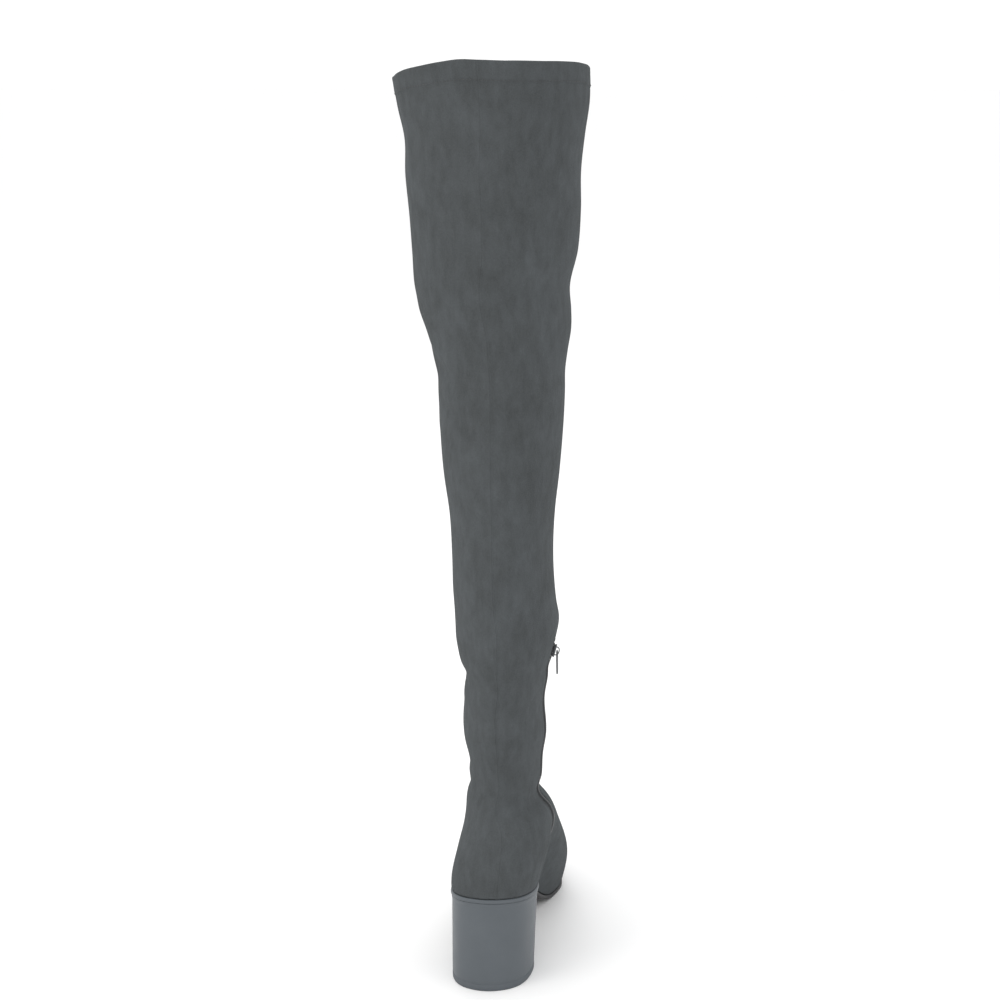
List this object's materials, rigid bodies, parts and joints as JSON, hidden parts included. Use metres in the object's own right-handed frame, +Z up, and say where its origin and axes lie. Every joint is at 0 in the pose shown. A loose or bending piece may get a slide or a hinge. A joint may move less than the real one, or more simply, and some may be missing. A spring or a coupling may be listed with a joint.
{
  "type": "thigh high boot",
  "caption": "Thigh-high stretch suede boot with a round block heel, a turned collar hem and a short inner ankle zip with a swinging pull.",
  "frame": {"origin": "on the floor, at the centre of the heel tip's flat face", "axes": "+Z up the leg, +Y from the heel to the toe, +X to the inner side of the leg, where the zip is"},
  "size_m": [0.1424, 0.2648, 0.7024],
  "materials": {
    "suede": "napped stretch suede, matt",
    "insole": "smooth lining",
    "sole": "matt with fine tread",
    "heel_cover": "smooth satin cover",
    "heel_tip": "matt",
    "zip_tape": "woven tape with coil teeth",
    "zip_metal": "dark satin"
  },
  "bodies": {
    "boot": {"upper": "suede", "shaft": "suede", "insole": "insole", "outsole": "sole", "heel": "heel_cover", "heel_tip": "heel_tip", "zip": "zip_tape", "zip_slider": "zip_metal"},
    "pull": {"zip_pull": "zip_metal"}
  },
  "joints": [
    {"name": "pull_swing", "type": "hinge", "parent": "boot", "child": "pull", "pos_m": [0.0495, 0.01641, 0.26138], "axis": [-0.0082, -0.9994, -0.0334], "range_deg": [-15, 140]}
  ]
}
